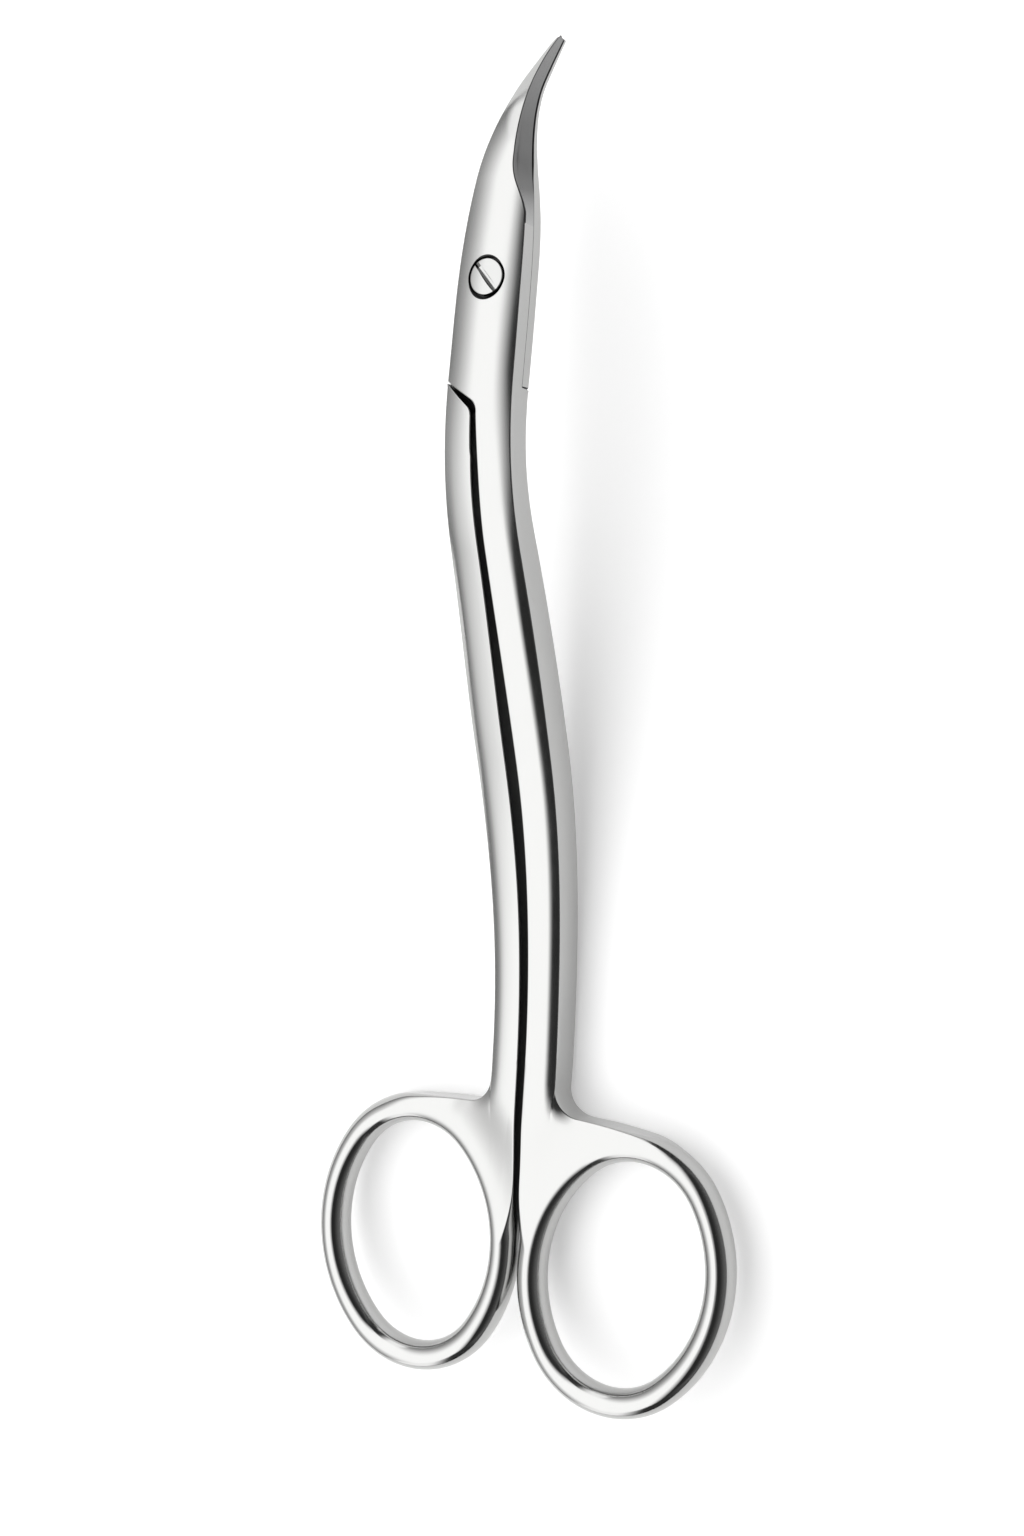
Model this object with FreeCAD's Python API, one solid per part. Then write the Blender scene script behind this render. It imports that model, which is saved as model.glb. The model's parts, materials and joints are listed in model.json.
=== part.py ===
import FreeCAD, Part
import math
import os
from FreeCAD import Vector

# Double-curved surgical scissors, closed, in millimetres.
# Working frame: X across, Y from the finger rings to the tips, Z up from the plane of the rings.
# The two halves are forged as one crowned bar that bends up, levels out at the joint and bends down
# at the blades. The bar is split by a gap between the shanks and by a lap face at the joint.

# Finger rings
ring_centre_y = 17.0
ring_half_width = 13.15
ring_half_length = 16.6
ring_end_radius = 11.2
ring_lean = 7.6
ring_wire_width = 3.86
ring_wire_height = 4.96
ring_gap = 0.4

# Side curve of the bar, from the rings to the tips
foot_run = 8.5
foot_radius = 180.0
root_slope = 3.0
root_straight = 22.7
rise_radius = 106.0
shank_slope = 26.7
shank_straight = 28.0
crest_radius = 42.7
joint_flat = 22.8
blade_bend_radius = 22.0
blade_bend = 38.0
blade_straight = 8.6

# Half widths of the closed scissors, seen from above
root_y = 42.0
root_half_width = 4.75
belly_half_width = 5.25
joint_half_width = 4.4
bend_half_width = 3.4
mid_blade_half_width = 2.45
tip_half_width = 0.45

# Where the outline changes, measured from the root, the joint's ends and the tip
root_run = 10.0
belly_to_joint = 43.0
neck_to_joint = 15.0
joint_taper_run = 6.5
bend_to_mid_blade = 5.5
point_run = 6.8
point_growth = 0.65

# Height of the side walls above and below the side curve
root_half_height = 2.6
shank_half_height = 2.45
neck_relief = 0.5
upper_leaf = 2.35
lower_leaf = 1.75

# Rise of the crown over the side edges
root_crown = 0.35
belly_crown = 0.55
joint_crown = 1.1

# Crest of each blade over the lap face, from before the bend to the tip, and how its crown tightens
front_run = 4.0
blade_lead = 3.0
upper_front_relief = 0.45
lower_front_relief = 0.1
blade_crowns = (0.9, 0.8, 0.6, 0.45, 0.5)
upper_bend = 2.15
lower_bend = 1.6
upper_blade = 1.35
lower_blade = 0.8
upper_point = 1.0
lower_point = 0.6
upper_tip = 0.42
lower_tip = 0.36

# Gap between the shanks
ring_end_gap = 0.12
root_gap = 0.5
belly_gap = 0.86
neck_gap = 0.5
leaf_gap = 0.14
ring_gap_run = 7.0
neck_gap_run = 8.0
leaf_gap_run = 1.2

# Shoulders of the lap joint
pivot_to_shoulder = 14.9
leaf_slant = 30.0
shoulder_slant = 38.9
shoulder_drop = 0.75
leaf_corner = 0.8
shoulder_corner = 1.4

# Lap face and the ground blades
lap_clearance = 0.08
relief_angle = 2.0
relief_run_out = 3.0
edge_inset = 0.12
inset_run_out = 4.0
bevel_start = 5.2
bevel_run_out = 7.5
bevel_tan = 0.62
bevel_outside = 0.12

# Pivot screw
pivot_to_joint_front = 11.6
head_diameter = 4.6
head_depth = 1.35
journal_diameter = 3.2
thread_diameter = 2.6
running_clearance = 0.03
head_clearance = 0.08
slot_width = 0.62
slot_depth = 0.75
slot_angle = -47.0

# Web between a shank and its ring
web_fillet = 5.5
web_crown_radius = 70.0
web_foot = 4.0
web_foot_relief = 0.3
web_half_width = 17.0
web_narrowing = 3.0
web_run = 18.0
web_to_root = 8.0
root_spare = 2.75
web_drop = 3.5
notch_depth = 13.0

# Spare width of the bar past the outline, and how far the cutting solids reach
bar_spare = 1.4
blade_reach = 7.0
far = 200.0


def unit(angle):
    """Direction in the YZ plane at an angle in degrees above +Y."""
    a = math.radians(angle)
    return Vector(0, math.cos(a), math.sin(a))


def up_of(angle):
    """Normal of the side curve where it climbs at an angle in degrees."""
    a = math.radians(angle)
    return Vector(0, -math.sin(a), math.cos(a))


def ramp(t):
    """Smooth step from 0 to 1."""
    t = min(max(t, 0.0), 1.0)
    return t * t * (3 - 2 * t)


class SideCurve:
    """Tangent lines and arcs in the YZ plane, each run given by its length and turn."""

    def __init__(self, start):
        self.runs = []
        self.end = start
        self.angle = 0.0

    def line(self, length):
        self.runs.append((self.end, self.angle, length, 0.0))
        self.end = self.end + unit(self.angle) * length

    def arc(self, radius, turn):
        length = radius * math.radians(abs(turn))
        self.runs.append((self.end, self.angle, length, turn))
        chord = 2 * radius * math.sin(math.radians(abs(turn)) / 2)
        self.end = self.end + unit(self.angle + turn / 2) * chord
        self.angle += turn

    def length(self):
        return sum(run[2] for run in self.runs)

    def at(self, s):
        """Point and climb angle at the distance s along the curve."""
        for run in self.runs:
            start, angle, length, turn = run
            if s <= length or run is self.runs[-1]:
                break
            s -= length
        part = turn * s / length
        if abs(turn) < 1e-9:
            return start + unit(angle) * s, angle
        radius = length / math.radians(abs(turn))
        chord = 2 * radius * math.sin(math.radians(abs(part)) / 2)
        return start + unit(angle + part / 2) * chord, angle + part


side = SideCurve(Vector(0, 0, 0))
side.line(foot_run)
side.arc(foot_radius, root_slope)
side.line(root_straight)
rise_s = side.length()
side.arc(rise_radius, shank_slope - root_slope)
shank_back_s = side.length()
side.line(shank_straight)
shank_front_s = side.length()
side.arc(crest_radius, -shank_slope)
joint_back_s = side.length()
joint_back = side.end
side.line(joint_flat)
joint_front_s = side.length()
joint_front = side.end
side.arc(blade_bend_radius, -blade_bend)
blade_s = side.length()
side.line(blade_straight)
total_s = side.length()
tip = side.end
lap_z = joint_front.z
pivot = joint_front - Vector(0, pivot_to_joint_front, 0)
shoulder_y = pivot.y - pivot_to_shoulder
crest_z = lap_z + upper_leaf + joint_crown


def crown_radius(half_width, rise):
    return (half_width ** 2 + rise ** 2) / (2 * rise)


def band_section(s, half, radius, above, below):
    """Closed section across the bar: crowned above and below, straight at the far sides."""
    centre, angle = side.at(s)
    up = up_of(angle)
    sag = radius - math.sqrt(radius ** 2 - half ** 2)

    def place(x, height):
        return centre + Vector(x, 0, 0) + up * height

    top = Part.Arc(place(-half, above - sag), place(0, above), place(half, above - sag))
    foot = Part.Arc(place(half, sag - below), place(0, -below), place(-half, sag - below))
    right = Part.LineSegment(place(half, above - sag), place(half, sag - below))
    left = Part.LineSegment(place(-half, sag - below), place(-half, above - sag))
    return Part.Wire([top.toShape(), right.toShape(), foot.toShape(), left.toShape()])


def crowned_bar():
    """The whole forging before it is split, wider than it ends up."""
    web = root_half_height
    root = root_half_height + root_crown
    belly = shank_half_height + belly_crown
    upper = upper_leaf + joint_crown
    lower = lower_leaf + joint_crown
    low_radius = crown_radius(root_half_width, root_crown)
    belly_radius = crown_radius(belly_half_width, belly_crown)
    joint_radius = crown_radius(joint_half_width, joint_crown)
    neck_radius = (belly_radius + joint_radius) / 2
    web_radius = (web_crown_radius + low_radius) / 2
    shank_radius = (low_radius + belly_radius) / 2
    web_back = web - web_foot_relief
    web_front = (web + root) / 2
    shank_rise = (root + belly) / 2
    belly_half = belly_half_width + bar_spare
    joint_half = joint_half_width + bar_spare
    bend_half = bend_half_width + bar_spare
    blade_half = mid_blade_half_width + bar_spare / 2
    point_half = mid_blade_half_width - tip_half_width
    tip_half = tip_half_width + point_growth
    front_upper = upper - upper_front_relief
    front_lower = lower - lower_front_relief
    radii = [joint_radius * share for share in blade_crowns]
    neck_s = (shank_front_s + joint_back_s) / 2
    joint_s = (joint_back_s + joint_front_s) / 2
    point_s = (blade_s + total_s) / 2
    stations = [
        (web_foot, web_half_width, web_crown_radius, web_back, web_back),
        (root_y - web_run, web_half_width, web_crown_radius, web, web),
        (root_y - web_to_root, web_half_width - web_narrowing, web_radius, web_front, web_front),
        (root_y + web_fillet / 3, root_half_width + root_spare, low_radius, root, root),
        (shank_back_s - web_run, belly_half, shank_radius, shank_rise, shank_rise),
        (shank_back_s, belly_half, belly_radius, belly, belly),
        (shank_front_s, belly_half, neck_radius, belly, belly - neck_relief / 2),
        (neck_s, joint_half, neck_radius, (belly + upper) / 2, lower - neck_relief),
        (joint_back_s, joint_half, joint_radius, upper, lower),
        (joint_s, joint_half, joint_radius, upper, lower),
        (joint_front_s - front_run, joint_half, radii[0], front_upper, front_lower),
        (joint_front_s + front_run, bend_half, radii[1], upper_bend, lower_bend),
        (blade_s - blade_lead, blade_half, radii[2], upper_blade, lower_blade),
        (point_s, point_half, radii[3], upper_point, lower_point),
        (total_s + bar_spare, tip_half, radii[4], upper_tip, lower_tip),
    ]
    wires = [band_section(*row) for row in stations]
    return Part.makeLoft(wires, True, False)


def spline(points):
    curve = Part.BSplineCurve()
    curve.interpolate(points)
    return curve


def line(a, b):
    return Part.LineSegment(a, b).toShape()


def mirror(p):
    return Vector(-p.x, p.y, p.z)


outline = spline([
    Vector(root_half_width, root_y, 0),
    Vector(root_half_width, root_y + root_run, 0),
    Vector(belly_half_width, joint_back.y - belly_to_joint, 0),
    Vector((belly_half_width + 3 * joint_half_width) / 4, joint_back.y - neck_to_joint, 0),
    Vector(joint_half_width, joint_back.y, 0),
    Vector(joint_half_width - edge_inset, pivot.y, 0),
    Vector((2 * joint_half_width + bend_half_width) / 3, joint_front.y - joint_taper_run, 0),
    Vector(bend_half_width, joint_front.y, 0),
    Vector(mid_blade_half_width, joint_front.y + bend_to_mid_blade, 0),
    Vector(tip_half_width + point_growth, tip.y - point_run, 0),
    Vector(tip_half_width, tip.y - tip_half_width, 0),
])


def outline_x(y):
    """Half width of the closed scissors at the distance y."""
    low = outline.FirstParameter
    high = outline.LastParameter
    for _ in range(40):
        middle = (low + high) / 2
        if outline.value(middle).y < y:
            low = middle
        else:
            high = middle
    return outline.value(low).x


def ring_centre(hand):
    lean = math.radians(ring_lean)
    reach = math.hypot(ring_half_width * math.cos(lean), ring_half_length * math.sin(lean))
    return Vector(hand * (reach + ring_wire_width / 2 + ring_gap / 2), ring_centre_y, 0)


def ring_arcs(hand):
    """Centre line of a ring as four tangent arcs: centre, start, middle, end and sweep of each."""
    offset = ring_half_length - ring_end_radius
    side_radius = (ring_half_width ** 2 + offset ** 2 - ring_end_radius ** 2) / 2
    side_radius /= ring_half_width - ring_end_radius
    reach = side_radius - ring_half_width
    turn = math.atan2(offset, reach)
    lean = FreeCAD.Rotation(Vector(0, 0, 1), -hand * ring_lean)
    place = FreeCAD.Placement(ring_centre(hand), lean)
    arcs = []
    for sign in (1, -1):
        arcs.append((Vector(0, sign * offset, 0), ring_end_radius, sign * math.pi / 2, math.pi / 2 - turn))
        arcs.append((Vector(-sign * reach, 0, 0), side_radius, math.pi / 2 * (1 - sign), turn))
    runs = []
    for centre, radius, middle, half in arcs:
        angles = (middle - half, middle, middle + half)
        points = [centre + Vector(math.cos(a), math.sin(a), 0) * radius for a in angles]
        runs.append([place.multVec(p) for p in [centre] + points] + [math.degrees(2 * half)])
    return runs


def ring_outline(hand):
    return [Part.Arc(start, middle, end).toShape() for _, start, middle, end, _ in ring_arcs(hand)]


def ring_section(start, outward):
    half_height = Vector(0, 0, ring_wire_height / 2)
    section = Part.Ellipse(start + half_height, start + outward * (ring_wire_width / 2), start)
    return Part.Face(Part.Wire(section.toShape()))


def ring(hand):
    """Wire section turned about the centre of each arc of the ring in turn."""
    pieces = []
    for centre, start, _, _, angle in ring_arcs(hand):
        face = ring_section(start, (start - centre).normalize())
        pieces.append(face.revolve(centre, Vector(0, 0, 1), angle))
    return pieces[0].fuse(pieces[1:])


def prism(edges, low, high):
    """Upright solid over a plan outline, between two heights."""
    face = Part.Face(Part.Wire(Part.__sortEdges__(edges)))
    face.translate(Vector(0, 0, low))
    return face.extrude(Vector(0, 0, high - low))


def plan_blank():
    """Plan shape of shanks, joint and blades, both halves together, with the webs to the rings."""
    root = outline.value(outline.FirstParameter)
    end = outline.value(outline.LastParameter)
    ring_top = ring_arcs(1)[0][0]
    apart = ring_end_radius + ring_wire_width / 2 + web_fillet
    across = ring_top.x - root_half_width - web_fillet
    fillet_top = Vector(root_half_width, ring_top.y + math.sqrt(apart ** 2 - across ** 2), 0)
    corner = fillet_top + Vector(web_fillet, -web_fillet, 0)
    middle = corner + Vector(-math.sin(math.pi / 4), 1 - math.cos(math.pi / 4), 0) * web_fillet
    out = Vector(ring_centre(1).x + 2, corner.y - web_drop, 0)
    drop_radius = ((out.x - corner.x) ** 2 + web_drop ** 2) / (2 * web_drop)
    drop_turn = math.asin((out.x - corner.x) / drop_radius) / 2
    drop_middle = corner + Vector(math.sin(drop_turn), math.cos(drop_turn) - 1, 0) * drop_radius
    low = Vector(out.x, ring_centre_y - notch_depth / 2, 0)
    notch_foot = Vector(ring_gap / 2 + ring_wire_width, low.y, 0)
    notch_tip = Vector(0, low.y + notch_depth, 0)
    notch_radius = (notch_foot.x ** 2 + notch_depth ** 2) / (2 * notch_foot.x)
    lean = math.asin(notch_depth / notch_radius) / 2
    notch_middle = notch_tip + Vector(1 - math.cos(lean), -math.sin(lean), 0) * notch_radius
    right = [
        outline.toShape(),
        line(root, fillet_top),
        Part.Arc(fillet_top, middle, corner).toShape(),
        Part.Arc(corner, drop_middle, out).toShape(),
        line(out, low),
        line(low, notch_foot),
        Part.Arc(notch_foot, notch_middle, notch_tip).toShape(),
    ]
    left = [edge.mirror(Vector(0, 0, 0), Vector(1, 0, 0)) for edge in right]
    nose = Part.Arc(end, Vector(0, tip.y, 0), mirror(end)).toShape()
    blank = prism(right + left + [nose], -far, far)
    for hand in (1, -1):
        blank = blank.cut(prism(ring_outline(hand), -far, far))
    return blank


def rounded_turn(a, b, c, radius):
    """Line, tangent arc and line from a by way of the corner b to c."""
    back = (a - b).normalize()
    ahead = (c - b).normalize()
    half_angle = back.getAngle(ahead) / 2
    reach = radius / math.tan(half_angle)
    bisector = (back + ahead).normalize()
    centre = b + bisector * (radius / math.sin(half_angle))
    first = b + back * reach
    last = b + ahead * reach
    return [line(a, first), Part.Arc(first, centre - bisector * radius, last).toShape(), line(last, c)]


def slanted(start, slant, across):
    """Point reached from start after going the distance across, climbing at the slant."""
    return start + Vector(across, abs(across) * math.tan(math.radians(slant)), 0)


def shank_side(hand):
    """What the other half takes: past the gap, and behind the leaf's slanted end."""
    neck_y = joint_back.y - neck_to_joint
    belly_y = joint_back.y - belly_to_joint
    foot = Vector(ring_end_gap, -far, 0)
    start = Vector(ring_end_gap, ring_centre_y - ring_gap_run, 0)
    end = Vector(leaf_gap, shoulder_y - leaf_gap_run, 0)
    gap_line = spline([
        start,
        Vector(root_gap, root_y - root_run, 0),
        Vector((root_gap + belly_gap) / 2, (root_y + belly_y) / 2, 0),
        Vector(belly_gap, belly_y, 0),
        Vector(neck_gap, neck_y - neck_gap_run / 2, 0),
        Vector(neck_gap, neck_y + neck_gap_run / 2, 0),
        end,
    ])
    corner = Vector(leaf_gap, shoulder_y, 0)
    outer = slanted(corner, leaf_slant, -far / 2)
    edges = [line(foot, start), gap_line.toShape()]
    edges += rounded_turn(end, corner, outer, leaf_corner)
    edges += [line(outer, Vector(-far, outer.y, 0)), line(Vector(-far, outer.y, 0), Vector(-far, -far, 0))]
    edges += [line(Vector(-far, -far, 0), foot)]
    tool = prism(edges, -far, far)
    if hand < 0:
        tool = tool.mirror(Vector(0, 0, 0), Vector(1, 0, 0))
    return tool


def leaf_side(hand):
    """What the other half takes across the lap face, back to the slanted shoulder."""
    corner = Vector(neck_gap, shoulder_y - shoulder_drop, 0)
    start = Vector(neck_gap, joint_back.y - neck_to_joint, 0)
    outer = slanted(corner, shoulder_slant, far / 2)
    front = Vector(far, joint_front.y, 0)
    edges = rounded_turn(start, corner, outer, shoulder_corner)
    edges += [
        line(outer, Vector(far, outer.y, 0)),
        line(Vector(far, outer.y, 0), Vector(far, 2 * far, 0)),
        line(Vector(far, 2 * far, 0), Vector(-far, 2 * far, 0)),
        line(Vector(-far, 2 * far, 0), Vector(-far, start.y, 0)),
        line(Vector(-far, start.y, 0), start),
    ]
    half_gap = lap_clearance / 2
    low, high = (-far, lap_z + half_gap) if hand > 0 else (lap_z - half_gap, far)
    tool = prism(edges, low, high)
    if hand < 0:
        tool = tool.mirror(Vector(0, 0, 0), Vector(1, 0, 0))
    keep = Part.makeBox(2 * far, joint_front.y + far, 2 * far, Vector(-far, -far, -far))
    return tool.common(keep)


def blade_station(s):
    """Point on the side curve, its normal, and the cutting edge's distance from the middle."""
    centre, angle = side.at(s)
    inset = edge_inset * ramp((s - joint_front_s + relief_run_out) / inset_run_out)
    edge = outline_x(min(centre.y, tip.y - tip_half_width)) - inset
    return centre, up_of(angle), edge


def blade_inner(hand):
    """What lies past the inner face of a blade, which falls away from its cutting edge."""
    wires = []
    count = 7
    start = joint_front_s - lap_clearance
    for k in range(count + 1):
        s = start + (total_s + bar_spare - start) * k / count
        centre, up, edge = blade_station(s)
        tilt = math.tan(math.radians(relief_angle)) * ramp((s - joint_front_s) / relief_run_out)

        def place(x, height):
            return centre + Vector(hand * x, 0, 0) + up * (hand * height)

        def face_height(x):
            return lap_clearance / 2 + tilt * (edge - x)

        low = -blade_reach
        high = blade_reach
        wires.append(Part.makePolygon([
            place(low, face_height(low)), place(high, face_height(high)),
            place(high, low), place(low, low), place(low, face_height(low))]))
    return Part.makeLoft(wires, True, False)


def bevel(hand):
    """What the ground bevel takes off a blade: all that leans past its cutting edge."""
    low = []
    high = []
    count = 12
    start = joint_front_s - bevel_start - blade_lead
    for k in range(count + 1):
        s = start + (total_s + bar_spare - start) * k / count
        centre, up, edge = blade_station(s)
        into = ramp((s - joint_front_s + bevel_start) / bevel_run_out)
        lean = bevel_tan * into
        outside = bevel_outside * (1 - into)
        base = centre + Vector(hand * (edge + outside), 0, 0)
        low.append(base + Vector(hand * lean, 0, 0) - up * hand)
        high.append(base + (up - Vector(lean, 0, 0)) * hand * blade_reach)
    face = Part.makeRuledSurface(spline(low).toShape(), spline(high).toShape())
    return face.extrude(Vector(hand * blade_reach, 0, 0))


def upright(diameter, low, high):
    return Part.makeCylinder(diameter / 2, high - low, Vector(pivot.x, pivot.y, low))


head_seat = crest_z - head_depth


def upper_half(body):
    half = body.cut([shank_side(1), leaf_side(1), blade_inner(1), bevel(1)])
    bore = upright(journal_diameter + 2 * running_clearance, 0, far)
    recess = upright(head_diameter + 2 * head_clearance, head_seat, far)
    return half.cut([bore, recess])


def lower_half(body):
    half = body.cut([shank_side(-1), leaf_side(-1), blade_inner(-1), bevel(-1)])
    return half.cut(upright(thread_diameter, 0, far))


def pivot_screw(body):
    lap_top = lap_z - lap_clearance / 2
    head = upright(head_diameter, head_seat + running_clearance, far)
    journal = upright(journal_diameter, lap_top, head_seat + running_clearance)
    threaded = upright(thread_diameter, 0, lap_top)
    screw = head.fuse([journal, threaded]).common(body)
    slot = Part.makeBox(head_diameter * 2, slot_width, far, Vector(-head_diameter, -slot_width / 2, 0))
    slot.rotate(Vector(0, 0, 0), Vector(0, 0, 1), slot_angle)
    slot.translate(Vector(pivot.x, pivot.y, crest_z - slot_depth))
    return screw.cut(slot).removeSplitter()


def resting_pitch():
    """Angle that brings the tip down to the level of the rings' far ends."""
    _, tip_angle = side.at(total_s)
    tip_foot = tip - up_of(tip_angle) * lower_tip
    lean = math.radians(ring_lean)
    reach = math.hypot(ring_half_length * math.cos(lean), ring_half_width * math.sin(lean))
    ring_foot = Vector(0, ring_centre_y - reach, -ring_wire_height / 2)
    rise = tip_foot - ring_foot
    return math.degrees(math.atan2(rise.z, rise.y))


os.makedirs("parts", exist_ok=True)
bar = crowned_bar().common(plan_blank())
body = bar.fuse([ring(1), ring(-1)])
pieces = {
    "upper_half": upper_half(body),
    "lower_half": lower_half(body),
    "pivot_screw": pivot_screw(body),
}
pitch = resting_pitch()
for name, shape in pieces.items():
    volumes = [round(solid.Volume, 2) for solid in shape.Solids]
    print(name, "valid", shape.isValid(), "volumes", volumes, "faces", len(shape.Faces))
    shape.rotate(Vector(0, 0, 0), Vector(1, 0, 0), -pitch)
box = Part.makeCompound(list(pieces.values())).optimalBoundingBox(False, False)
shift = Vector(-box.Center.x, -box.Center.y, -box.ZMin)
for name, shape in pieces.items():
    shape.translate(shift)
    shape.exportStep("parts/" + name + ".step")
turn = FreeCAD.Rotation(Vector(1, 0, 0), -pitch)
print("pitch", pitch, "pivot", turn.multVec(pivot) + shift, "axis", turn.multVec(Vector(0, 0, 1)))
print("box", box)
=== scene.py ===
import json
import math

import bpy
import numpy as np
from mathutils import Matrix, Vector


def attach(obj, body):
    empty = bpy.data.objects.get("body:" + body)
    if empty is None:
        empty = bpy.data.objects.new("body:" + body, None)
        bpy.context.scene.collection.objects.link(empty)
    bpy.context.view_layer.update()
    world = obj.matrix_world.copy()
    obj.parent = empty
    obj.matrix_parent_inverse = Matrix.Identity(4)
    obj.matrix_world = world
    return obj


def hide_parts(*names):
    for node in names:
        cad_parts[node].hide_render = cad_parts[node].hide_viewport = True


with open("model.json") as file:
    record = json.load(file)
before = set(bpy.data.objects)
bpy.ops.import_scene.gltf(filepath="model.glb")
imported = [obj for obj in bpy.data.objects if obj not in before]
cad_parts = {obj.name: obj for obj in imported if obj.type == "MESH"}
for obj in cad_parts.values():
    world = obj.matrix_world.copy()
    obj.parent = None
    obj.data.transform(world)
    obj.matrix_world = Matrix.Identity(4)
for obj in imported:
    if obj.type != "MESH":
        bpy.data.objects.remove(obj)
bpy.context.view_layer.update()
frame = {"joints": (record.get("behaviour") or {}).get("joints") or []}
print("frame loaded")

# Sizes of the forging in millimetres and degrees, in the frame of the part's drawing: X across, Y from
# the rings to the tips, Z up from the plane of the rings. s is a length along the side curve.
formValues = {
    # Side curve, as runs of length and climb, and the place in this list of the joint's level run.
    "sideRuns": [(8.5, 0), (9.425, 3.0), (22.7, 0), (43.846, 23.7), (28.0, 0),
                 (19.898, -26.7), (22.8, 0), (14.591, -38.0), (8.6, 0)],
    "jointRun": 6,
    # Crowned faces: s, crown radius, rise above and rise below the side curve.
    "stations": [(4.0, 70.0, 2.3, 2.3), (24.0, 70.0, 2.7, 2.6), (34.0, 60.0, 2.95, 2.775),
                 (43.83, 45.0, 3.2, 2.95), (66.47, 45.0, 3.3, 2.975), (84.47, 45.0, 3.25, 3.0),
                 (112.47, 20.0, 3.1, 2.75), (122.42, 13.5, 3.25, 2.35), (132.37, 9.35, 3.45, 2.85),
                 (143.77, 9.35, 3.45, 2.85), (151.17, 9.0, 3.0, 2.75), (159.17, 9.0, 2.15, 1.6),
                 (166.76, 9.0, 1.35, 0.8), (174.06, 9.0, 1.0, 0.6), (179.76, 9.0, 0.42, 0.36)],
    # Half width over Y: a mark, the distance from it and the half width. A round nose closes the tip.
    "outline": [("rings", 42.0, 4.75), ("rings", 52.0, 4.75), ("jointBack", -43.0, 5.38),
                ("jointBack", -15.0, 4.68), ("jointBack", 0.0, 4.42), ("pivot", 0.0, 4.28),
                ("jointFront", -6.5, 4.067), ("jointFront", 0.0, 3.4), ("jointFront", 5.5, 2.45),
                ("tip", -6.8, 1.1)],
    "tipHalf": 0.45,
    # Half of the gap between the halves, in the same way.
    "gap": [("rings", 10.0, 0.12), ("rings", 32.0, 0.46), ("shankMiddle", 0.0, 0.6),
            ("jointBack", -43.0, 0.74), ("jointBack", -19.0, 0.44), ("jointBack", -11.0, 0.42)],
    # Soft slant along the shanks' outer edges: its depth above and below, the share of the half width
    # where it starts, its softness, and where it fades along s.
    "edgeFall": {"top": 0.6, "foot": 0.15, "start": 0.75, "soft": 0.12, "fadeStart": 98.0, "fadeRun": 34.0},
    "wallBulge": {"rise": 0.22, "runIn": 14.0, "fadeStart": 96.0, "fadeRun": 14.0},
    "edgeRound": 0.17,
    "lapHalf": 0.04,
    # Rings: four tangent arcs of a round wire, and the web that joins them to the shank. The web's outer
    # wall goes round a fillet and touches the ring at an angle.
    "ringCentreY": 17.0,
    "ringHalf": (13.15, 16.6),
    "ringEndRadius": 11.2,
    "ringLean": 7.6,
    "wireHalf": (1.93, 2.48),
    "ringGap": 0.4,
    "webFillet": 3.6,
    "webTouch": 85.5,
    "webFade": 15.0,
    "rootS": 44.0,
    # Lap joint: places counted back from the joint's front end and from the pivot, the leaf's end and
    # the shoulder as an edge beside the middle, a slant and a rounded corner.
    "pivotBack": 11.6,
    "shoulderBack": 14.9,
    "leaf": {"edge": 0.14, "slant": 30.0, "corner": 1.7, "before": 1.2},
    "shoulder": {"edge": 0.5, "slant": 38.9, "corner": 1.4, "behind": 0.75},
    "shoulderGap": {"start": 9.0, "run": 4.0, "half": 0.48},
    "slantReach": 9.0,
    # Blades: hollow of the inner face, and the ground bevel with its slope and its step inwards.
    "relief": {"angle": 2.0, "run": 3.0},
    "bevel": {"start": 5.2, "run": 7.5, "slope": 0.62, "inset": 0.12, "insetStart": 3.0, "insetRun": 4.0},
}

# How finely the form is worked out: the side curve's table, points on rounded corners, on quarter
# turns and on arcs, rounds of the two searches, and least sizes.
fine = {"table": 0.01, "spare": 3, "corner": 9, "quarter": 5, "arc": 400, "faceRounds": 6,
        "meetRounds": 7, "leastAngle": 1e-6, "leastHalf": 0.01}


# Natural cubic spline through points: its second derivative is zero at both ends.
class Smooth:
    def __init__(self, points):
        data = np.array(points, float)
        self.x, self.y = data[:, 0], data[:, 1]
        self.step = np.diff(self.x)
        count = len(self.x)
        rows = np.eye(count)
        right = np.zeros(count)
        slope = np.diff(self.y) / self.step
        for k in range(1, count - 1):
            rows[k, k - 1:k + 2] = self.step[k - 1], 2 * (self.step[k - 1] + self.step[k]), self.step[k]
            right[k] = 6 * (slope[k] - slope[k - 1])
        self.bend = np.linalg.solve(rows, right)

    def __call__(self, value):
        value = np.clip(np.asarray(value, float), self.x[0], self.x[-1])
        k = np.clip(np.searchsorted(self.x, value) - 1, 0, len(self.step) - 1)
        step = self.step[k]
        a = self.x[k + 1] - value
        b = value - self.x[k]
        cubic = (self.bend[k] * a ** 3 + self.bend[k + 1] * b ** 3) / (6 * step)
        low = (self.y[k] / step - self.bend[k] * step / 6) * a
        high = (self.y[k + 1] / step - self.bend[k + 1] * step / 6) * b
        return cubic + low + high


def ramp(t):
    t = np.clip(t, 0.0, 1.0)
    return t * t * (3 - 2 * t)


# A rise that starts softly at a place and goes on straight, 0 at 0 and 1 at 1: a hyperbola's branch.
def softRise(t, start, soft):
    def branch(u):
        return u + np.sqrt(u * u + soft * soft)

    return (branch(t - start) - branch(-start)) / (branch(1 - start) - branch(-start))


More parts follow.
